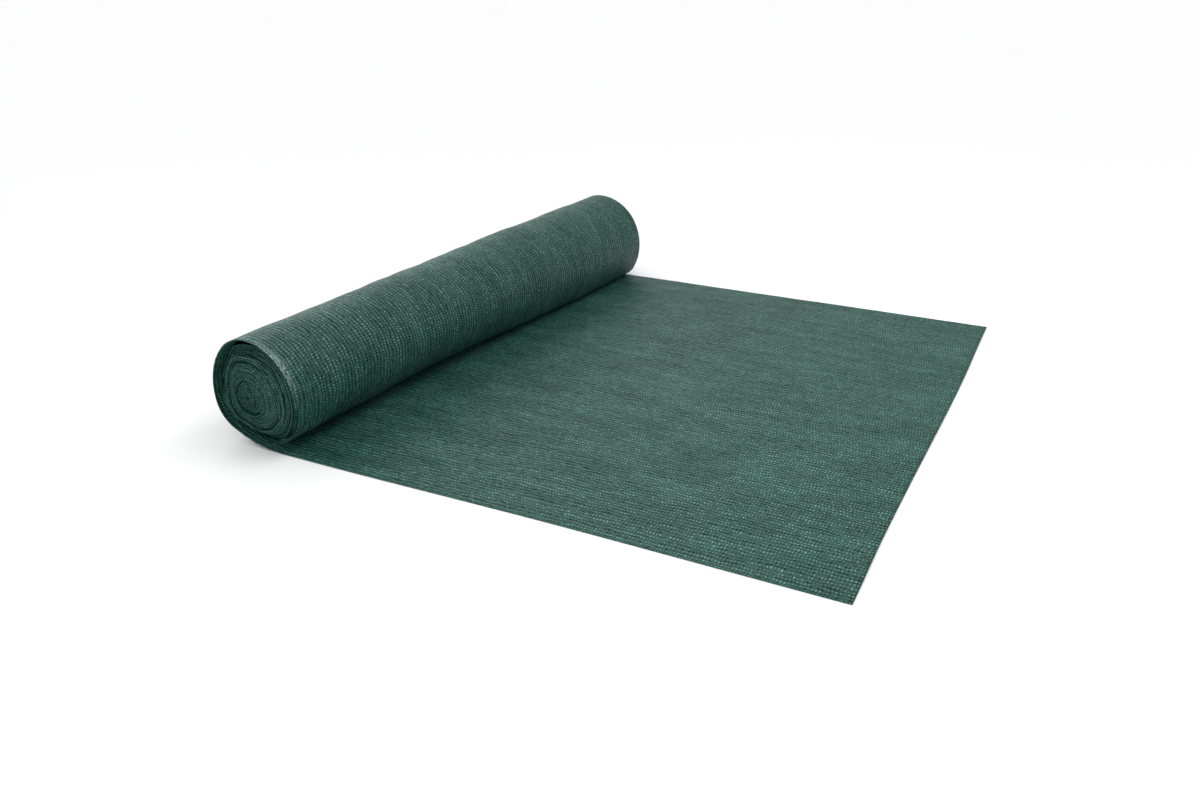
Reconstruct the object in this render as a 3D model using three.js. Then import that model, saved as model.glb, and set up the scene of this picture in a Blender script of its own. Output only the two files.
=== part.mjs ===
// Privacy screen netting: a roll of knitted green cloth, its outermost turn loose and its end run out flat.
// Millimetres, +Z up. Until the last lines, x runs from the roll to the cut end of the cloth, y runs along
// the roll from its near end, and the cloth lies on z = 0.
import * as THREE from "three";

// Cloth
const CLOTH_WIDTH = 1000;
const CLOTH_THICKNESS = 1.2;
const LAYER_GAP = 0.4;

// Flat run: where the cloth starts to lift into the roll, where its cut end lies at places across the
// width, and how far its long edges draw in from the ends of the roll. The roll weighs the cloth down
// everywhere but at its near edge, which lifts sooner.
const LIFT_OFF_X = { nearEdge: 49, near: 8, far: 36 };
const WEIGHED_DOWN_FROM = 0.2;
const CUT_END = [
  { across: 0, x: 843.5 },
  { across: 0.15, x: 842 },
  { across: 0.68, x: 846.5 },
  { across: 1, x: 843.5 },
];
const EDGE_DRAW_IN = [
  { x: 90, near: 0, far: 0 },
  { x: 500, near: 5, far: 2 },
  { x: 843, near: 3, far: 5 },
];

// Loose outermost turn, seen from the near end: up the left side, over the top, down the right side and
// in under the roll. Each bend turns clockwise through sweep degrees, with a radius for either end, and
// one for the near edge where that differs. The right side is drawn in most a third of the way along.
const RIGHT_SIDE = [
  { across: 0, radius: 86 },
  { across: 0.3, radius: 77 },
  { across: 0.45, radius: 80 },
  { across: 0.6, radius: 91 },
  { across: 0.87, radius: 103 },
];
const LOOSE_TURN = [
  { bend: "lift off", sweep: 30, nearEdge: 173, near: 71.2, far: 73 },
  { bend: "lower left", sweep: 50, nearEdge: 51, near: 71.2, far: 73 },
  { bend: "left side", sweep: 55, nearEdge: 95.5, near: 95.1, far: 99.8 },
  { bend: "shoulder", sweep: 45, near: 59, far: 61.5 },
  { bend: "top right", sweep: 60, near: 79, far: 91 },
  { bend: "right side", sweep: 60, radii: RIGHT_SIDE },
];
const FULL_TURN = 360;
const TUCKED_LENGTH = 2;
const TUCKED_HEIGHT = { nearEdge: 14.5, near: 2.2, far: 2.2 };
const MIDDLE_SWELL = 0.014;

// Wound roll inside the loose turn: the middle of its winding, and how far it reaches from there in each
// direction of the clock, 0 up and 90 to the right. Where the loose turn is nearer, the roll lies against it.
const WINDING_MIDDLE = { near: { x: -29, z: 58 }, far: { x: 1.5, z: 61 } };
const ROLL_REACH = [
  { clock: 0, near: 83, far: 88 },
  { clock: 30, near: 94, far: 100 },
  { clock: 60, near: 96, far: 104.5 },
  { clock: 90, nearEdge: 89, near: 92, far: 101 },
  { clock: 120, nearEdge: 68, near: 81, far: 88.5 },
  { clock: 150, nearEdge: 49, near: 69, far: 74 },
  { clock: 180, nearEdge: 43.5, near: 60, far: 64 },
  { clock: 210, near: 60, far: 64 },
  { clock: 240, near: 56, far: 60 },
  { clock: 270, near: 52, far: 55 },
  { clock: 300, near: 60, far: 64 },
  { clock: 330, near: 70, far: 74 },
];

// Ends of the roll: the turns have slid along y, more towards the middle, so that the near end is a stepped
// hollow and the far end stands out as much. out is a share of the reach, slid is in millimetres.
const END_RINGS = [
  { out: 1, slid: 14 },
  { out: 0.75, slid: 15.5 },
  { out: 0.69, slid: 20 },
  { out: 0.41, slid: 21 },
  { out: 0.34, slid: 25 },
  { out: 0, slid: 26 },
];

// Facets
const FLAT_STEPS = 16;
const BEND_STEP_DEGREES = 7.5;
const WIDTH_STEPS = 20;
const ROLL_SIDES = 60;

const COLOURS = { looseEnd: 0x4b8374, roll: 0x2f5a4e };

const { lerp, smoothstep, degToRad } = THREE.MathUtils;

// A value between the rows of a table, eased from row to row. Rows are sorted by the column at.
function between(rows, at, place, column) {
  const next = rows.findIndex((row) => row[at] >= place);
  if (next === 0) return rows[0][column];
  if (next < 0) return rows[rows.length - 1][column];
  const share = smoothstep(place, rows[next - 1][at], rows[next][at]);
  return lerp(rows[next - 1][column], rows[next][column], share);
}

// A measure that has a table, or changes evenly from the near end to the far end, apart from the near edge.
function alongRoll({ nearEdge, near, far, radii }, across) {
  if (radii) return between(radii, "across", across, "radius");
  const even = lerp(near, far, across);
  return nearEdge === undefined ? even : lerp(nearEdge, even, smoothstep(across, 0, WEIGHED_DOWN_FROM));
}

// The line that the cloth follows at one place across its width, as curves in x and z.
function clothCurves(across) {
  const swell = 1 + MIDDLE_SWELL * Math.sin(Math.PI * across);
  const height = CLOTH_THICKNESS / 2;
  const cutEnd = new THREE.Vector2(between(CUT_END, "across", across, "x"), height);
  const liftOff = new THREE.Vector2(alongRoll(LIFT_OFF_X, across), height);
  const curves = [new THREE.LineCurve(cutEnd, liftOff)];
  let place = liftOff;
  let heading = Math.PI;
  const bendTo = (radius, sweep) => {
    const middle = new THREE.Vector2(Math.sin(heading), -Math.cos(heading)).multiplyScalar(radius).add(place);
    const start = heading + Math.PI / 2;
    const curve = new THREE.EllipseCurve(middle.x, middle.y, radius, radius, start, start - sweep, true);
    curves.push(curve);
    place = curve.getPoint(1);
    heading -= sweep;
  };
  for (const row of LOOSE_TURN) bendTo(alongRoll(row, across) * swell, degToRad(row.sweep));
  const tuckSweep = degToRad(tuckDegrees());
  const tuckedHeight = alongRoll(TUCKED_HEIGHT, across);
  bendTo((place.y - tuckedHeight) / (1 - Math.cos(tuckSweep)), tuckSweep);
  curves.push(new THREE.LineCurve(place, new THREE.Vector2(place.x - TUCKED_LENGTH, tuckedHeight)));
  return curves;
}

// The last bend brings the loose turn level, on top of the flat run.
function tuckDegrees() {
  return FULL_TURN - LOOSE_TURN.reduce((turned, row) => turned + row.sweep, 0);
}

// Steps on each curve: the same at every place across the width.
function stepsOnCurves() {
  const bends = [...LOOSE_TURN.map((row) => row.sweep), tuckDegrees()];
  return [FLAT_STEPS, ...bends.map((sweep) => Math.round(sweep / BEND_STEP_DEGREES)), 1];
}

// Stations along the cloth: its middle line and the direction towards its upper, inner face.
function clothStations(across) {
  const steps = stepsOnCurves();
  const stations = [];
  clothCurves(across).forEach((curve, index) => {
    for (let step = index === 0 ? 0 : 1; step <= steps[index]; step++) {
      const tangent = curve.getTangent(step / steps[index]);
      stations.push({
        middle: curve.getPoint(step / steps[index]),
        inward: new THREE.Vector2(tangent.y, -tangent.x),
        flat: index === 0,
      });
    }
  });
  return stations;
}

// The cloth as a flat strip, one unit to a station, then laid along its line.
function looseEndGeometry() {
  const lengthSteps = clothStations(0).length - 1;
  const strip = new THREE.BoxGeometry(lengthSteps, CLOTH_THICKNESS, 1, lengthSteps, 1, WIDTH_STEPS);
  const places = strip.getAttribute("position");
  for (let i = 0; i < places.count; i++) {
    const across = places.getZ(i) + 0.5;
    const station = clothStations(across)[Math.round(places.getX(i) + lengthSteps / 2)];
    const place = station.middle.clone().addScaledVector(station.inward, places.getY(i));
    const drawnIn = (end) => (station.flat ? between(EDGE_DRAW_IN, "x", place.x, end) : 0);
    const y = lerp(drawnIn("near"), CLOTH_WIDTH - drawnIn("far"), across);
    places.setXYZ(i, place.x, y, place.y);
  }
  return strip;
}

// How far a straight line from the middle of the winding runs before it meets the inner face of the cloth.
function reachToCloth(middle, direction, innerFace) {
  let nearest = Infinity;
  for (let i = 1; i < innerFace.length; i++) {
    const from = innerFace[i - 1].clone().sub(middle);
    const side = innerFace[i].clone().sub(innerFace[i - 1]);
    const turned = direction.cross(side);
    const reach = from.cross(side) / turned;
    const share = from.cross(direction) / turned;
    if (reach > 0 && share >= 0 && share <= 1) nearest = Math.min(nearest, reach);
  }
  return nearest;
}

// The outline of the wound roll at one place across the width, with its middle.
function rollOutline(across) {
  const { near, far } = WINDING_MIDDLE;
  const middle = new THREE.Vector2(lerp(near.x, far.x, across), lerp(near.z, far.z, across));
  const rim = ROLL_REACH.map((row) => {
    const reach = alongRoll(row, across);
    const clock = degToRad(row.clock);
    return new THREE.Vector3(middle.x + reach * Math.sin(clock), middle.y + reach * Math.cos(clock), 0);
  });
  const curve = new THREE.CatmullRomCurve3(rim, true);
  const clearance = CLOTH_THICKNESS / 2 + LAYER_GAP;
  const innerFace = clothStations(across).map((station) =>
    station.middle.clone().addScaledVector(station.inward, clearance),
  );
  const spokes = Array.from({ length: ROLL_SIDES }, (_, side) => {
    const free = curve.getPoint(side / ROLL_SIDES);
    return new THREE.Vector2(free.x, free.y).sub(middle);
  });
  const limits = spokes.map((spoke) => reachToCloth(middle, spoke.clone().normalize(), innerFace));
  const outline = spokes.map((spoke, side) => {
    const before = limits[(side + ROLL_SIDES - 1) % ROLL_SIDES];
    const after = limits[(side + 1) % ROLL_SIDES];
    return spoke.clone().setLength(Math.min(spoke.length(), before, limits[side], after)).add(middle);
  });
  return { middle, outline };
}

// The roll as a turned form with a radius of 1, its y counting rings, then set to its outlines.
function rollGeometry() {
  const middleRings = Array.from({ length: WIDTH_STEPS - 1 }, (_, i) => ({
    out: 1,
    y: ((i + 1) / WIDTH_STEPS) * CLOTH_WIDTH,
  }));
  const rings = [
    ...END_RINGS.map(({ out, slid }) => ({ out, y: slid })).reverse(),
    ...middleRings,
    ...END_RINGS.map(({ out, slid }) => ({ out, y: CLOTH_WIDTH + slid })),
  ];
  const turned = new THREE.LatheGeometry(
    rings.map(({ out }, ring) => new THREE.Vector2(out, ring)),
    ROLL_SIDES,
  );
  const sections = rings.map(({ y }) => rollOutline(y / CLOTH_WIDTH));
  const places = turned.getAttribute("position");
  for (let i = 0; i < places.count; i++) {
    const ring = Math.round(places.getY(i));
    const side = Math.floor(i / rings.length) % ROLL_SIDES;
    const { middle, outline } = sections[ring];
    const place = outline[side].clone().lerp(middle, 1 - rings[ring].out);
    places.setXYZ(i, place.x, rings[ring].y, place.y);
  }
  return turned;
}

function clothMesh(name, geometry, color) {
  const material = new THREE.MeshStandardMaterial({ color, roughness: 0.75, metalness: 0 });
  const mesh = new THREE.Mesh(geometry, material);
  mesh.name = name;
  return mesh;
}

const group = new THREE.Group();
group.add(clothMesh("netting_loose_end", looseEndGeometry(), COLOURS.looseEnd));
group.add(clothMesh("netting_roll", rollGeometry(), COLOURS.roll));

// The part's own origin is on the ground under the middle of its outline.
const outer = new THREE.Box3().setFromObject(group);
const centre = outer.getCenter(new THREE.Vector3());
group.position.set(-centre.x, -centre.y, -outer.min.z);

export default group;
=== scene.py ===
"""Privacy screen netting: a part-unrolled roll of knitted green cloth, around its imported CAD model.

Metres, +Z up. The cloth is worked out on its own axes and then moved into the row frame: x runs from the
roll to the cut end of the cloth, y runs along the roll from its near end, and the cloth lies on z = 0.
Across is a place across the width of the cloth, from 0 at its near edge to 1 at its far edge. Run is the
length of cloth from its cut end.
"""
import math

import bpy
import numpy as np
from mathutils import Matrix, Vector


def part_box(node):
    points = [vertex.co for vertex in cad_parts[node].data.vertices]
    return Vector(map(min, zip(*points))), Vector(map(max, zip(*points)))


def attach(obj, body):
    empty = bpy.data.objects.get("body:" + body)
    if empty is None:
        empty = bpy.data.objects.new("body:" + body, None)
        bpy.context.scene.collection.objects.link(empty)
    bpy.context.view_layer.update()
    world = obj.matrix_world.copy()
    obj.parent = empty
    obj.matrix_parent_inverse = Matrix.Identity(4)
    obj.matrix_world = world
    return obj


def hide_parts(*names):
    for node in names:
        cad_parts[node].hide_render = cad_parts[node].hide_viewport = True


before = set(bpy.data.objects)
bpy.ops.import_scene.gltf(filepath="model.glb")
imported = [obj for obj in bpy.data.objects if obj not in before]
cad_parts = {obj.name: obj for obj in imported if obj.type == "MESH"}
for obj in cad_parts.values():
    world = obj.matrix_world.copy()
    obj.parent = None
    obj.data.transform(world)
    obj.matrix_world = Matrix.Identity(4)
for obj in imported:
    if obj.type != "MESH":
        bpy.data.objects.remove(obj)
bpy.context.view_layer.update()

MM = 0.001

# The cloth's own axes in the row frame.
CUT_END_REACH = 846.5 * MM
sheet_low, sheet_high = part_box("netting_loose_end")
ORIGIN = np.array([sheet_high.x - CUT_END_REACH, sheet_low.y, sheet_low.z])

# Camera: place in metres, angles in degrees, lens and sensor in millimetres.
CAMERA_PLACE = ORIGIN + np.array([1.015, -0.922, 0.630])
CAMERA_TURN = 27.05
CAMERA_DOWN = 23.51
CAMERA_LENS = 30.465
CAMERA_SENSOR = 36.0

camera = bpy.data.objects.new("camera", bpy.data.cameras.new("camera"))
bpy.context.scene.collection.objects.link(camera)
camera.location = CAMERA_PLACE
camera.rotation_euler = (math.radians(90 - CAMERA_DOWN), 0, math.radians(CAMERA_TURN))
camera.data.lens = CAMERA_LENS
camera.data.sensor_width = CAMERA_SENSOR
camera.data.sensor_fit = "HORIZONTAL"
camera.data.clip_end = 200
bpy.context.scene.camera = camera

# Sizes, as in the CAD model. The tables are in millimetres and degrees.
CLOTH_WIDTH = 1.0
MIDDLE_HEIGHT = 0.6 * MM
TUCKED_HEIGHT = dict(near_edge=14.5, near=2.2, far=2.2)
LIFT_OFF = dict(near_edge=49, near=8, far=36)
WEIGHED_DOWN_FROM = 0.2
CUT_END = [(0, 843.5), (0.15, 842), (0.68, 846.5), (1, 843.5)]  # across, x
DRAW_IN_NEAR = [(90, 0), (500, 5), (843, 3)]  # x, how far the edge is drawn in
DRAW_IN_FAR = [(90, 0), (500, 2), (843, 5)]
RIGHT_SIDE = [(0, 86), (0.3, 77), (0.45, 80), (0.6, 91), (0.87, 103)]  # across, radius
BENDS = [
    dict(sweep=30, near_edge=173, near=71.2, far=73),
    dict(sweep=50, near_edge=51, near=71.2, far=73),
    dict(sweep=55, near_edge=95.5, near=95.1, far=99.8),
    dict(sweep=45, near=59, far=61.5),
    dict(sweep=60, near=79, far=91),
    dict(sweep=60, radii=RIGHT_SIDE),
]
TUCK_SWEEP = 60
MIDDLE_SWELL = 0.014
WINDING_MIDDLE = dict(near=(-29, 58), far=(1.5, 61))
ROLL_REACH = [  # clock from the top towards the flat run, reach at the near edge, near and far
    (0, 83, 83, 88), (30, 94, 94, 100), (60, 96, 96, 104.5), (90, 93, 92, 101), (120, 85, 81, 88.5),
    (150, 58, 69, 74), (180, 43.5, 60, 64), (210, 60, 60, 64), (240, 56, 56, 60), (270, 52, 52, 55),
    (300, 60, 60, 64), (330, 70, 70, 74), (360, 83, 83, 88),
]
# Share of the reach, and how far the turns there have slid along the roll.
END_SLIDES = [(0, 26), (0.34, 25), (0.41, 21), (0.69, 20), (0.75, 15.5), (1, 14)]

# The knit: pillars are the lengthwise rows of stitches.
PILLARS = 147
STITCH = 4.4 * MM
COLUMNS_PER_PILLAR = 4


def smooth(x):
    """0 to 1, eased at both ends."""
    x = np.clip(x, 0, 1)
    return x * x * (3 - 2 * x)


def eased(rows, place):
    """A value between the rows of a table, eased from row to row."""
    place = np.asarray(place, float)
    value = np.full(place.shape, float(rows[0][1]))
    for (a, va), (b, vb) in zip(rows, rows[1:]):
        value = value + (vb - va) * smooth((place - a) / (b - a))
    return value


def along_roll(row, across):
    """The value of a table's row at places across the cloth."""
    if "radii" in row:
        return eased(row["radii"], across)
    even = row["near"] + (row["far"] - row["near"]) * across
    if "near_edge" not in row:
        return even
    return row["near_edge"] + (even - row["near_edge"]) * smooth(across / WEIGHED_DOWN_FROM)


def unevenness(across):
    """How far the loose turn stands out or in along the roll, as a share of its radii."""
    dip = -0.006 * np.exp(-(((across - 0.44) / 0.05) ** 2))
    rise = 0.005 * np.exp(-(((across - 0.66) / 0.10) ** 2))
    return dip + rise


def cloth_line(across, shares):
    """The line of the cloth at places across it, as arrays of stations by columns: x, z, the angle that it
    has turned through, and run. shares has one array for the flat run and one for each bend: how far along
    that piece each station is."""
    across = np.asarray(across, float)
    swell = 1 + MIDDLE_SWELL * np.sin(np.pi * np.clip(across, 0, 1)) + unevenness(across)
    cut_end = eased(CUT_END, across) * MM
    lift_off = along_roll(LIFT_OFF, across) * MM
    share = shares[0][:, None]
    flat = cut_end - lift_off
    xs, zs = [cut_end - share * flat], [MIDDLE_HEIGHT + 0 * share * flat]
    turns, runs = [0 * share * flat], [share * flat]
    x, z, turned, run = lift_off, np.full(across.shape, MIDDLE_HEIGHT), 0.0, flat
    for number, bend_shares in enumerate(shares[1:]):
        if number < len(BENDS):
            sweep = math.radians(BENDS[number]["sweep"])
            radius = along_roll(BENDS[number], across) * swell * MM
        else:
            sweep = math.radians(TUCK_SWEEP)
            radius = (z - along_roll(TUCKED_HEIGHT, across) * MM) / (1 - math.cos(sweep))
        middle_x, middle_z = x + radius * math.sin(turned), z + radius * math.cos(turned)
        angle = turned + sweep * bend_shares[:, None] + 0 * radius
        xs.append(middle_x - radius * np.sin(angle))
        zs.append(middle_z - radius * np.cos(angle))
        turns.append(angle)
        runs.append(run + radius * sweep * bend_shares[:, None])
        turned += sweep
        x, z = middle_x - radius * math.sin(turned), middle_z - radius * math.cos(turned)
        run = run + radius * sweep
    return [np.concatenate(parts) for parts in (xs, zs, turns, runs)]


def waves(x, y, seed, longest, shortest, count=14):
    """Soft unevenness from 0 to 1, the same at each run."""
    draw = np.random.default_rng(seed)
    total = np.zeros(np.broadcast(x, y).shape)
    weight = 0.0
    for _ in range(count):
        length = math.exp(draw.uniform(math.log(shortest), math.log(longest)))
        heading, phase = draw.uniform(0, 2 * math.pi, 2)
        size = length ** 0.8
        place = x * math.cos(heading) + y * math.sin(heading)
        total += size * np.sin(2 * math.pi * place / length + phase)
        weight += size * size / 2
    return 0.5 + 0.5 * np.tanh(total / math.sqrt(weight) * 0.8)


def grid_faces(rows, columns, start, flip):
    """The quads of a grid whose first vertex has that number."""
    r, c = np.meshgrid(np.arange(rows - 1), np.arange(columns - 1), indexing="ij")
    a = start + r * columns + c
    quads = np.stack([a, a + 1, a + columns + 1, a + columns], -1).reshape(-1, 4)
    return quads[:, ::-1] if flip else quads


def mesh_piece(name, places, quads, cloth, bake):
    """A mesh with its map in metres of cloth, and another laid out for baking."""
    mesh = bpy.data.meshes.new(name)
    mesh.vertices.add(len(places))
    mesh.vertices.foreach_set("co", np.asarray(places, np.float32).ravel())
    mesh.loops.add(quads.size)
    mesh.loops.foreach_set("vertex_index", quads.astype(np.int32).ravel())
    mesh.polygons.add(len(quads))
    mesh.polygons.foreach_set("loop_start", np.arange(0, quads.size, 4, dtype=np.int32))
    mesh.polygons.foreach_set("use_smooth", np.ones(len(quads), bool))
    mesh.update(calc_edges=True)
    for label, values in (("cloth", cloth), ("OFBake", bake)):
        layer = mesh.uv_layers.new(name=label)
        layer.uv.foreach_set("vector", np.asarray(values[quads.ravel()], np.float32).ravel())
    mesh.validate()
    piece = bpy.data.objects.new(name, mesh)
    bpy.context.scene.collection.objects.link(piece)
    return piece


def shell(name, middle, outward, half_up, half_down, cloth, spread):
    """A closed cloth piece from its middle surface: arrays of rows by columns by 3. outward points to the
    upper face; half_up and half_down are the distances to the two faces."""
    rows, columns = middle.shape[:2]
    upper = middle + outward * half_up[..., None]
    lower = middle - outward * half_down[..., None]
    count = rows * columns
    places = np.concatenate([upper.reshape(-1, 3), lower.reshape(-1, 3)])
    faces = [grid_faces(rows, columns, 0, False), grid_faces(rows, columns, count, True)]
    index = np.arange(count).reshape(rows, columns)
    for edge, flip in ((index[0], False), (index[-1], True), (index[:, 0], True), (index[:, -1], False)):
        a, b = edge[:-1], edge[1:]
        rim = np.stack([b, a, a + count, b + count], -1)
        faces.append(rim[:, ::-1] if flip else rim)
    maps = np.concatenate([cloth.reshape(-1, 2)] * 2)
    first = spread.reshape(-1, 2) * (0.49, 0.98) + (0.005, 0.01)
    bake = np.concatenate([first, first + (0.5, 0)])
    return mesh_piece(name, places + ORIGIN, np.concatenate(faces), maps, bake)


# The loose end: flat run and loose turn.
DEGREES_PER_STEP = 7.5
EDGE_SHARE = 0.06  # the cloth lies straighter this near to its edges
SWAY = 5 * MM
LYING_OVER = 60  # the flat run's waves grow over this many millimetres from the lift-off
LYING_WAVE = 1.3 * MM
BULGE = 1.6 * MM
THINNEST_HALF = 0.30  # half of the cloth's thickness between two pillars, in millimetres
RIDGE_HEIGHT = 0.26  # how far a pillar stands up, in millimetres
BEAD_HEIGHT = 0.45 * MM  # the thicker selvedge
BEAD_WIDTH = 1.6 * MM
UNDER_HALF = 0.58 * MM


def loose_end():
    """The sheet from its cut end to its tuck under the roll, and the run at its stations."""
    columns = PILLARS * COLUMNS_PER_PILLAR + 1
    across = np.linspace(0, 1, columns)
    flat_shares = np.concatenate([[0, 0.003, 0.008, 0.014], np.linspace(0.03, 1, 27)])
    shares = [flat_shares]
    for bend in BENDS + [dict(sweep=TUCK_SWEEP)]:
        steps = round(bend["sweep"] / DEGREES_PER_STEP)
        shares.append(np.arange(1, steps + 1) / steps)
    x, z, turned, run = cloth_line(across, shares)
    on_flat = np.arange(len(x))[:, None] < len(flat_shares)
    drawn_near = np.where(on_flat, eased(DRAW_IN_NEAR, x / MM), 0) * MM
    drawn_far = np.where(on_flat, eased(DRAW_IN_FAR, x / MM), 0) * MM
    from_edges = smooth(np.minimum(across, 1 - across) / EDGE_SHARE)
    sway = (waves(run, across, 11, 0.6, 0.15) - 0.5) * SWAY * from_edges
    y = drawn_near + (CLOTH_WIDTH - drawn_far - drawn_near) * across + sway
    lying = smooth((x / MM - along_roll(LIFT_OFF, across)) / LYING_OVER) * on_flat
    z = z + lying * LYING_WAVE * waves(x, y, 23, 0.5, 0.1) * (0.25 + 0.75 * from_edges)
    bulge = (waves(run, across, 31, 0.3, 0.06) - 0.5) * BULGE * from_edges * (~on_flat)
    inward = np.stack([np.sin(turned), 0 * turned, np.cos(turned)], -1)
    middle = np.stack([x, y, z], -1) - inward * bulge[..., None]
    ridge = 0.5 + 0.5 * np.cos(2 * np.pi * PILLARS * across)
    fuzz = np.random.default_rng(17).uniform(0.15, 1.0, x.shape)
    bead = np.exp(-np.minimum(across, 1 - across) / BEAD_WIDTH) * BEAD_HEIGHT
    half = (THINNEST_HALF + RIDGE_HEIGHT * ridge) * MM + bead * fuzz
    cloth = np.stack([across + 0 * x, run], -1)
    spread = np.stack([across + 0 * x, run / run.max()], -1)
    piece = shell("netting_sheet", middle, inward, half, np.minimum(half, UNDER_HALF), cloth, spread)
    return piece, run


sheet, sheet_run = loose_end()
SHEET_LENGTH = float(sheet_run[-1].mean())


# The wound roll: one long spiral of cloth, from the outside in.
TURNS = 58
STEPS_PER_TURN = 48
SPIRAL_FROM = 158.0  # clock direction where the spiral starts
INNERMOST = 0.035  # share of the reach where it ends
CLEARANCE = 1.25 * MM
SPIRAL_COLUMNS = np.array([0, 1.5, 4, 9, 20, 80, 200, 500, 800, 980, 991, 996, 998.5, 1000]) / 1000
MIDDLE_COLUMN = 7
GAP_SPREAD = 0.3
LOOSE_TURNS = (15, 16, 36, 37)  # turns, counted inwards, that are wound less tightly
LOOSE_GAP = 1.8
# How far the turns have slid along the roll, in millimetres, on top of END_SLIDES.
LOOSE_RECESS = 7
STEP_SLIDE = 1.0
SWING_SLIDE = 0.7
RAGGED_SLIDE = 0.6
LOW_LEFT_SLIDE = -6
TOP_SLIDE = 9
BOTTOM_SLIDE = 14
TUCKED_SLIDE = 5
TUCKED_TURN = 0.3  # the first part of the spiral, still level with the loose turn
ROUND_SHARE = 0.8
TURN_HALF = 0.30 * MM
RIM_SHARE = 0.44  # half thickness of a rim, as a share of the distance to the next turn
RIM_HALF_MOST = 0.95 * MM
RIM_WIDTH = 0.006


def inner_limits(across, clocks):
    """How far the loose turn's line is from the middle of the winding, at each clock direction."""
    shares = [np.linspace(0.72, 1, 30)] + [np.linspace(0.1, 1, 10)] * (len(BENDS) + 1)
    x, z, _, _ = cloth_line(np.array([across]), shares)
    middle_x, middle_z = winding_middle(across)
    dx, dz = x[:, 0] - middle_x, z[:, 0] - middle_z
    angle = np.degrees(np.unwrap(np.arctan2(dx, dz)))
    angle += 360 * round((100 - angle[0]) / 360)
    reach = np.hypot(dx, dz)
    limit = np.full(len(clocks), np.inf)
    for lap in (0, 360):
        seen = np.interp(clocks + lap, angle, reach, left=np.inf, right=np.inf)
        limit = np.minimum(limit, seen)
    return limit


def winding_middle(across):
    """The middle of the winding at a place across the cloth: x, z."""
    near, far = np.array(WINDING_MIDDLE["near"]), np.array(WINDING_MIDDLE["far"])
    x, z = (near + (far - near) * across) * MM
    return x, z


def core_reach(across, clocks):
    """How far the winding reaches from its middle at each clock direction, clear of the loose turn."""
    table = np.array(ROLL_REACH, float)
    widths = along_roll(dict(near_edge=table[:, 1], near=table[:, 2], far=table[:, 3]), across)
    free = np.interp(clocks, table[:, 0], widths) * MM
    around = (clocks[:, None] + np.array([-12, -6, 0, 6, 12])) % 360
    evened = np.interp(around, table[:, 0], widths).mean(1) * MM
    return np.minimum(0.3 * free + 0.7 * evened, inner_limits(across, clocks) - CLEARANCE)


def turning_share(clock, towards):
    """1 at a clock direction, falling to 0 at a quarter turn from it."""
    return np.clip(np.cos(np.radians(clock - towards)), 0, 1)


def turn_slides(turn, clock, out, recess, draw):
    """How far each station has slid along the roll, in millimetres."""
    rim_step = draw.normal(0, 1, TURNS + 2)
    rim_swing = draw.uniform(0, 2 * np.pi, TURNS + 2)
    whole = np.floor(turn).astype(int)
    after = np.minimum(whole + 1, TURNS + 1)
    part = smooth(turn - whole)
    step = rim_step[whole] * (1 - part) + rim_step[after] * part
    sunk = recess[whole] * (1 - part) + recess[after] * part
    swing = np.sin(np.radians(clock) + rim_swing[whole])
    ragged = draw.normal(0, RAGGED_SLIDE, len(turn))
    slid = eased(END_SLIDES, out) + STEP_SLIDE * step + SWING_SLIDE * swing + ragged + sunk
    slid = slid + LOW_LEFT_SLIDE * (turning_share(clock, 220) * smooth((out - 0.45) / 0.5))
    slid = slid + TOP_SLIDE * turning_share(clock, 12) ** 0.5 * smooth((out - 0.78) / 0.14)
    slid = slid + BOTTOM_SLIDE * turning_share(clock, 172) * smooth((out - 0.80) / 0.14)
    tucked = TUCKED_SLIDE + (slid - TUCKED_SLIDE) * smooth(turn / TUCKED_TURN)
    return np.where(turn < TUCKED_TURN, tucked, slid)


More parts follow.
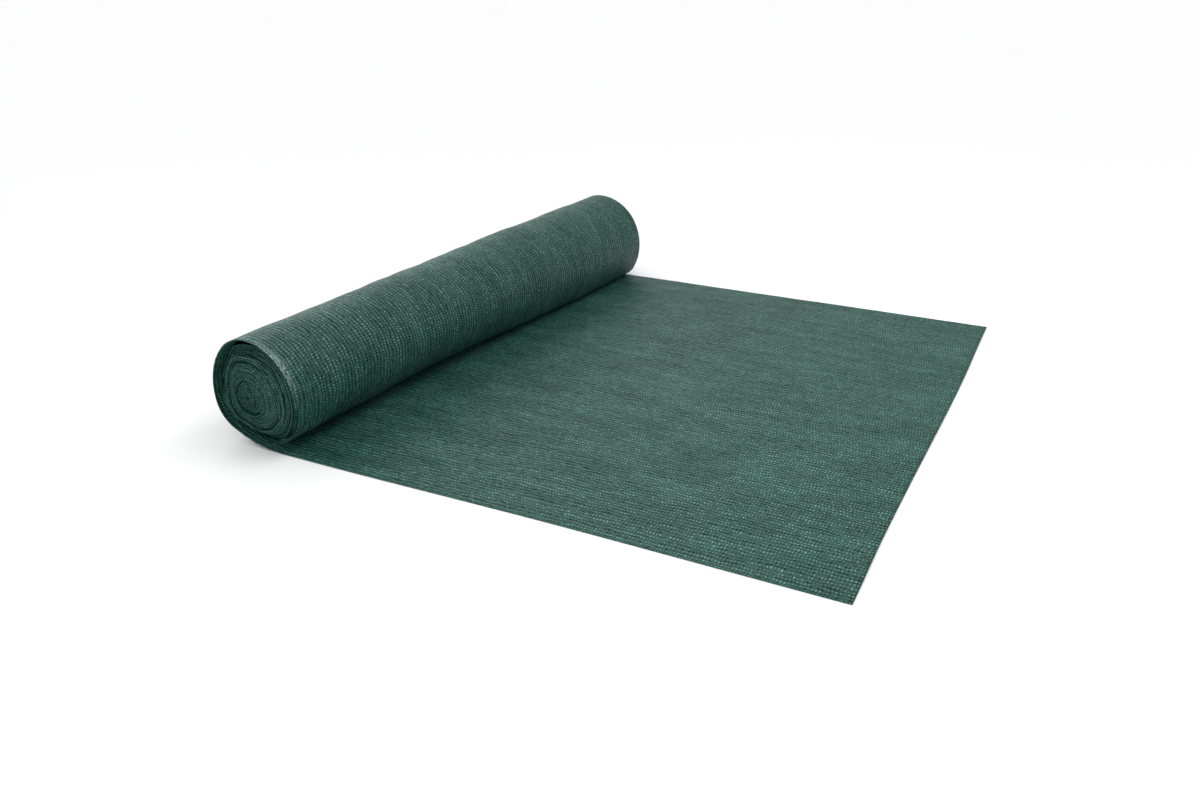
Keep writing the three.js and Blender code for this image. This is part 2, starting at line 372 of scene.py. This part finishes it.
def spiral():
    """The wound turns as one sheet, and its length."""
    stations = TURNS * STEPS_PER_TURN + 1
    turn = np.linspace(0, TURNS, stations)
    clock = (SPIRAL_FROM + 360 * turn) % 360
    draw = np.random.default_rng(5)
    gaps = np.exp(draw.normal(0, GAP_SPREAD, TURNS + 1))
    recess = np.zeros(TURNS + 2)
    for loose in LOOSE_TURNS:
        gaps[loose] *= LOOSE_GAP
        recess[loose] = LOOSE_RECESS
    wound = np.concatenate([[0], np.cumsum(gaps)])
    out = 1 - (1 - INNERMOST) * np.interp(turn, np.arange(TURNS + 2), wound) / wound[TURNS]
    out = np.maximum(out, INNERMOST)
    slid = turn_slides(turn, clock, out, recess, draw)
    middle = np.zeros((stations, len(SPIRAL_COLUMNS), 3))
    clocks = np.arange(0, 360, 360 / STEPS_PER_TURN)
    for column, across in enumerate(SPIRAL_COLUMNS):
        reach = core_reach(across, clocks)
        outline = np.interp(clock, np.append(clocks, 360), np.append(reach, reach[0]))
        round_share = ROUND_SHARE * smooth((0.8 - out) / 0.8)
        here = out * (outline + (reach.mean() - outline) * round_share)
        if column == 0:
            pitch = here[:-STEPS_PER_TURN] - here[STEPS_PER_TURN:]
            pitch = np.append(pitch, np.full(STEPS_PER_TURN, pitch[-1]))
        middle_x, middle_z = winding_middle(across)
        middle[:, column, 0] = middle_x + here * np.sin(np.radians(clock))
        middle[:, column, 2] = middle_z + here * np.cos(np.radians(clock))
        middle[:, column, 1] = across * CLOTH_WIDTH + slid * MM
    along = np.gradient(middle, axis=0)
    along[..., 1] = 0
    along /= np.maximum(np.linalg.norm(along, axis=-1, keepdims=True), 1e-9)
    inward = np.stack([along[..., 2], 0 * along[..., 1], -along[..., 0]], -1)
    step_length = np.linalg.norm(np.diff(middle[:, [MIDDLE_COLUMN]], axis=0)[..., [0, 2]], axis=-1)
    run = SHEET_LENGTH + np.concatenate([[0], np.cumsum(step_length)])
    edge = np.minimum(SPIRAL_COLUMNS, 1 - SPIRAL_COLUMNS)
    rim_half = np.clip(RIM_SHARE * pitch, TURN_HALF, RIM_HALF_MOST)
    half = TURN_HALF + (rim_half - TURN_HALF)[:, None] * np.exp(-edge / RIM_WIDTH)
    cloth = np.stack(np.broadcast_arrays(SPIRAL_COLUMNS[None, :], run[:, None]), -1)
    rows = np.linspace(0, 1, stations)[:, None] + 0 * SPIRAL_COLUMNS[None, :]
    columns = np.linspace(0, 1, len(SPIRAL_COLUMNS))[None, :] + 0 * rows
    piece = shell("netting_winding", middle, inward, half, half, cloth, np.stack([columns, rows], -1))
    return piece, float(run[-1] - SHEET_LENGTH)


winding, WINDING_LENGTH = spiral()


# Materials.
class Graph:
    """A material's nodes. Each call adds a node and gives its output."""

    def __init__(self, name):
        self.material = bpy.data.materials.new(name)
        self.material.use_nodes = True
        self.tree = self.material.node_tree
        self.tree.nodes.clear()

    def node(self, kind, output=0, settings=(), **inputs):
        node = self.tree.nodes.new(kind)
        for key, value in dict(settings).items():
            setattr(node, key, value)
        for key, value in inputs.items():
            key = key.replace("_", " ")
            socket = node.inputs[int(key[1:])] if key[0] == "i" and key[1:].isdigit() else node.inputs[key]
            self.put(socket, value)
        return node.outputs[output]

    def put(self, socket, value):
        if isinstance(value, bpy.types.NodeSocket):
            self.tree.links.new(value, socket)
        else:
            socket.default_value = value

    def math(self, operation, *values):
        numbered = {f"i{n}": v for n, v in enumerate(values)}
        return self.node("ShaderNodeMath", settings={"operation": operation}, **numbered)

    def add(self, *values):
        total = values[0]
        for value in values[1:]:
            total = self.math("ADD", total, value)
        return total

    def times(self, *values):
        total = values[0]
        for value in values[1:]:
            total = self.math("MULTIPLY", total, value)
        return total

    def wave(self, turns):
        """Cosine of that many turns."""
        return self.math("COSINE", self.times(turns, 2 * math.pi))

    def ramp(self, value, low, high, bottom=0.0, top=1.0):
        return self.node(
            "ShaderNodeMapRange",
            settings={"interpolation_type": "SMOOTHSTEP"},
            i0=value, i1=low, i2=high, i3=bottom, i4=top,
        )

    def mix(self, share, first, second):
        node = self.tree.nodes.new("ShaderNodeMix")
        node.data_type = "RGBA"
        self.put(node.inputs["Factor"], share)
        for socket, value in ((node.inputs[6], first), (node.inputs[7], second)):
            self.put(socket, value if isinstance(value, bpy.types.NodeSocket) else (*value, 1))
        return node.outputs[2]

    def vector(self, x, y, z=0.0):
        return self.node("ShaderNodeCombineXYZ", i0=x, i1=y, i2=z)

    def noise(self, place, scale, detail=2.0, roughness=0.5):
        return self.node(
            "ShaderNodeTexNoise", Vector=place, Scale=scale, Detail=detail, Roughness=roughness
        )

    def chance(self, place):
        return self.node("ShaderNodeTexWhiteNoise", settings={"noise_dimensions": "2D"}, Vector=place)


# Colours: the dark of the knit's holes, which is painted shade and also paints the tuck's shade under the
# roll and the cut end's own darker band; the knit; its lightest stitches, also used for painted glints; the
# selvedge; and the painted highlight of the loose rim's glints.
CLOTH_SHADE_AND_DARK_END = (0.0007, 0.0061, 0.0045)
CLOTH_GREEN = (0.0020, 0.0470, 0.0338)
CLOTH_LIGHT = (0.1380, 0.3150, 0.2750)
SELVEDGE = (0.0390, 0.1480, 0.1220)
PAINTED_GLINT_WHITE = (0.4000, 0.5100, 0.4800)
# Stretches of the near rim: a painted highlight of glints, and the painted shade where the cloth tucks
# under the roll. For each: the run at its middle, half its length, and how far it reaches across or fades.
PAINTED_RIM_GLINTS = dict(run=1.130, length=0.060, width=0.016)
TUCK_SHADE_STRETCH = dict(run=1.25, length=0.046, fade=0.012)
# Cells of the noises: how many to the cloth's width, and to a metre along it.
DRIFT = dict(across=9.0, along=5.0)
WOBBLE = dict(across=70.0, along=36.0)
PATCHES = dict(across=14.0, along=6.0)
ROWS = dict(across=PILLARS * 0.9, along=18.0)
BANDS = dict(across=PILLARS * 0.3, along=9.0)
PAINTED_GLINT_SPECKS = dict(across=520.0, along=260.0)
GRAIN = dict(across=620.0, along=620.0)
TURN_TONES_ALONG = 7.0
# How far the knit wanders, in pillars and in stitches.
WOBBLE_PILLARS = 1.5
DRIFT_STITCHES = 2.4
SHIFT_STITCHES = 0.8
# How light each thing makes the cloth, from CLOTH_GREEN at 0 to CLOTH_LIGHT at 1.
GRAIN_LIGHT = (-0.14, 0.18)
STITCH_LIGHT = (0.08, 0.34)
# Painted glints: random stitches made lighter to stand in for glints off the loops.
PAINTED_GLINT_LIGHT = 0.85
BAND_LIGHT = 0.05
PATCH_LIGHT = (-0.05, 0.06)
# The bump's height, and what each thing adds to it.
BUMP = dict(strength=0.6, distance=0.7 * MM)
BUMP_HEIGHTS = dict(loops=0.55, chain=0.25, holes=-0.9, luck=0.12)


def netting_material():
    """Rows of stitches along the cloth with holes between them, uneven in place, size and tone. The dark of
    the holes, the dark edge of the tuck, and the glints on the stitches and on the loose rim are painted
    light and shade.
    """
    g = Graph("knitted_netting")

    def cells(row):
        return g.vector(g.times(u, row["across"]), g.times(v, row["along"]))

    place = g.tree.nodes.new("ShaderNodeUVMap")
    place.uv_map = "cloth"
    split = g.tree.nodes.new("ShaderNodeSeparateXYZ")
    g.tree.links.new(place.outputs[0], split.inputs[0])
    u, v = split.outputs[0], split.outputs[1]
    drift = g.noise(cells(DRIFT), 1.0)
    wobble = g.noise(cells(WOBBLE), 1.0)
    pillar = g.add(g.times(u, float(PILLARS)), g.times(g.add(wobble, -0.5), WOBBLE_PILLARS))
    on_pillar = g.wave(pillar)
    pillar_index = g.math("ROUND", pillar)
    shift = g.times(g.chance(g.vector(pillar_index, 5.5)), SHIFT_STITCHES)
    stitch = g.add(g.times(v, 1 / STITCH), g.times(drift, DRIFT_STITCHES), shift)
    on_stitch = g.wave(stitch)
    stitch_index = g.math("FLOOR", g.add(stitch, 0.5))
    between_index = g.math("FLOOR", pillar)
    luck = g.chance(g.vector(pillar_index, stitch_index))
    hole_luck = g.chance(g.vector(between_index, g.add(g.math("FLOOR", stitch), 71.0)))
    patches = g.noise(cells(PATCHES), 1.0, 3.0, 0.6)
    rows = g.noise(cells(ROWS), 1.0, 1.0, 0.5)
    bands = g.noise(cells(BANDS), 1.0, 1.0, 0.5)

    chain = g.ramp(on_pillar, -0.2, 0.95)
    loops = g.times(chain, g.ramp(on_stitch, -0.4, 0.85, 0.0, 1.0))
    gaps = g.ramp(on_pillar, 0.2, -0.9)
    row_light = g.ramp(rows, 0.30, 0.70)
    band_light = g.ramp(bands, 0.32, 0.68)
    # Painted glints: random stitches made lighter to stand in for glints off the loops.
    painted_glints = g.times(g.ramp(luck, 0.10, 1.0), g.ramp(band_light, 0.0, 1.0, 0.50, 1.0))
    # The knit's holes are real openings, but their near-black colour is painted shade.
    holes = g.times(gaps, g.ramp(g.wave(g.add(stitch, 0.5)), -0.9, 0.5, 0.35, 1.0))
    holes = g.times(holes, g.ramp(hole_luck, 0.1, 0.8, 0.20, 1.00), g.ramp(band_light, 0.0, 1.0, 1.0, 0.7))

    # Painted highlight: whitish glints painted along a stretch of the loose turn's near rim.
    rim_window = g.math("ABSOLUTE", g.add(v, -PAINTED_RIM_GLINTS["run"]))
    painted_rim_glints = g.times(
        g.ramp(rim_window, PAINTED_RIM_GLINTS["length"], 0.0), g.ramp(u, PAINTED_RIM_GLINTS["width"], 0.0),
        g.ramp(g.noise(cells(PAINTED_GLINT_SPECKS), 1.0, 1.0), 0.40, 0.60),
    )
    grain = g.noise(cells(GRAIN), 1.0, 0.0)
    light = g.add(
        g.ramp(grain, 0.34, 0.66, *GRAIN_LIGHT),
        g.times(loops, g.ramp(row_light, 0.0, 1.0, *STITCH_LIGHT)),
        g.times(loops, painted_glints, PAINTED_GLINT_LIGHT),
        g.times(band_light, BAND_LIGHT),
        g.ramp(patches, 0.3, 0.7, *PATCH_LIGHT),
    )
    color = g.mix(g.math("MINIMUM", g.math("MAXIMUM", light, 0.0), 1.0), CLOTH_GREEN, CLOTH_LIGHT)
    color = g.mix(g.math("MINIMUM", holes, 1.0), color, CLOTH_SHADE_AND_DARK_END)
    color = g.mix(g.times(painted_rim_glints, 0.85), color, PAINTED_GLINT_WHITE)

    edge = g.math("MINIMUM", u, g.math("SUBTRACT", 1.0, u))
    selvedge = g.times(g.ramp(edge, 0.0030, 0.0010), g.ramp(on_stitch, -0.8, 0.8, 0.05, 0.95))
    # Painted shade where the loose turn tucks under the roll: the lighter selvedge is left out there.
    tucked = g.math("ABSOLUTE", g.add(v, -TUCK_SHADE_STRETCH["run"]))
    out_of_tuck_shade = g.ramp(tucked, TUCK_SHADE_STRETCH["length"], TUCK_SHADE_STRETCH["length"] + TUCK_SHADE_STRETCH["fade"])
    turn_noise = g.noise(g.vector(g.times(v, TURN_TONES_ALONG), 0.5), 1.0, 1.0)
    turn_tone = g.ramp(turn_noise, 0.35, 0.65, 0.35, 1.0)
    selvedge = g.times(selvedge, out_of_tuck_shade, turn_tone)
    color = g.mix(g.times(selvedge, g.ramp(luck, 0.1, 1.0, 0.1, 1.0)), color, SELVEDGE)
    # Painted shade: the tucked edge is darkened, as if in the roll's contact shadow.
    tuck_shade = g.times(g.ramp(out_of_tuck_shade, 0.0, 1.0, 0.65, 0.0), g.ramp(u, 0.006, 0.002))
    color = g.mix(tuck_shade, color, CLOTH_SHADE_AND_DARK_END)
    end_band = g.ramp(v, 0.0060, 0.0040)
    color = g.mix(g.times(end_band, g.ramp(on_pillar, -0.4, 0.6, 0.4, 0.1)), color, CLOTH_SHADE_AND_DARK_END)

    raised = dict(loops=loops, chain=chain, holes=holes, luck=luck)
    height = g.add(*(g.times(raised[key], share) for key, share in BUMP_HEIGHTS.items()))
    bump = g.node("ShaderNodeBump", Strength=BUMP["strength"], Distance=BUMP["distance"], Height=height)
    rough = g.add(0.52, g.times(loops, -0.10), g.times(holes, 0.35))
    shader = g.tree.nodes.new("ShaderNodeBsdfPrincipled")
    g.put(shader.inputs["Base Color"], color)
    g.put(shader.inputs["Roughness"], rough)
    g.put(shader.inputs["Normal"], bump)
    g.put(shader.inputs["Specular IOR Level"], g.ramp(tuck_shade, 0.0, 0.65, 0.25, 0.05))
    output = g.tree.nodes.new("ShaderNodeOutputMaterial")
    g.tree.links.new(shader.outputs[0], output.inputs[0])
    return g.material


def floor_material():
    """Plain and pale, with the faintest unevenness."""
    g = Graph("pale_floor")
    place = g.tree.nodes.new("ShaderNodeTexCoord")
    clouds = g.noise(place.outputs["Object"], 0.8, 2.0)
    color = g.mix(clouds, (0.90, 0.90, 0.90), (0.93, 0.93, 0.93))
    shader = g.tree.nodes.new("ShaderNodeBsdfPrincipled")
    g.put(shader.inputs["Base Color"], color)
    shader.inputs["Roughness"].default_value = 0.9
    shader.inputs["Specular IOR Level"].default_value = 0.0
    output = g.tree.nodes.new("ShaderNodeOutputMaterial")
    g.tree.links.new(shader.outputs[0], output.inputs[0])
    return g.material


netting = netting_material()
for piece in (sheet, winding):
    piece.data.materials.append(netting)
    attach(piece, "root")
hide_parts("netting_loose_end")
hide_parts("netting_roll")

# Floor, lights, world.
FLOOR_SIDE = 120.0
FLOOR_DROP = 0.1 * MM
floor_mesh = bpy.data.meshes.new("floor")
side = FLOOR_SIDE / 2
corners = [(-side, -side, 0), (side, -side, 0), (side, side, 0), (-side, side, 0)]
floor_mesh.from_pydata(corners, [], [(0, 1, 2, 3)])
floor = bpy.data.objects.new("floor", floor_mesh)
floor.location.z = ORIGIN[2] - FLOOR_DROP
bpy.context.scene.collection.objects.link(floor)
floor_mesh.materials.append(floor_material())


SUNS = [
    dict(name="left", azimuth=-80, elevation=30, strength=2.1, spread=80),
    dict(name="behind", azimuth=-33, elevation=28, strength=0.24, spread=40),
    dict(name="behind_right", azimuth=40, elevation=45, strength=0.55, spread=60),
    dict(name="front", azimuth=153, elevation=40, strength=0.38, spread=60),
]
SOFTBOX = dict(size=0.7, size_y=0.9, energy=5.8)
SOFTBOX_PLACE = ORIGIN + np.array([0.80, 0.40, 1.30])
WORLD_STRENGTH = 0.50


def add_sun(name, azimuth, elevation, strength, spread):
    """azimuth is where the light comes from, in degrees from +Y towards +X."""
    data = bpy.data.lights.new(name, "SUN")
    data.energy = strength
    data.angle = math.radians(spread)
    lamp = bpy.data.objects.new(name, data)
    a, e = math.radians(azimuth), math.radians(elevation)
    towards = Vector((math.sin(a) * math.cos(e), math.cos(a) * math.cos(e), math.sin(e)))
    lamp.rotation_euler = towards.to_track_quat("Z", "Y").to_euler()
    bpy.context.scene.collection.objects.link(lamp)


for sun in SUNS:
    add_sun(**sun)

softbox = bpy.data.lights.new("above", "AREA")
softbox.shape = "RECTANGLE"
for key, value in SOFTBOX.items():
    setattr(softbox, key, value)
above = bpy.data.objects.new("above", softbox)
above.location = SOFTBOX_PLACE
above.visible_camera = False
bpy.context.scene.collection.objects.link(above)

world = bpy.data.worlds.new("studio")
bpy.context.scene.world = world
world.use_nodes = True
background = world.node_tree.nodes["Background"]
background.inputs["Color"].default_value = (1, 1, 1, 1)
background.inputs["Strength"].default_value = WORLD_STRENGTH
bpy.context.scene.view_settings.view_transform = "Standard"
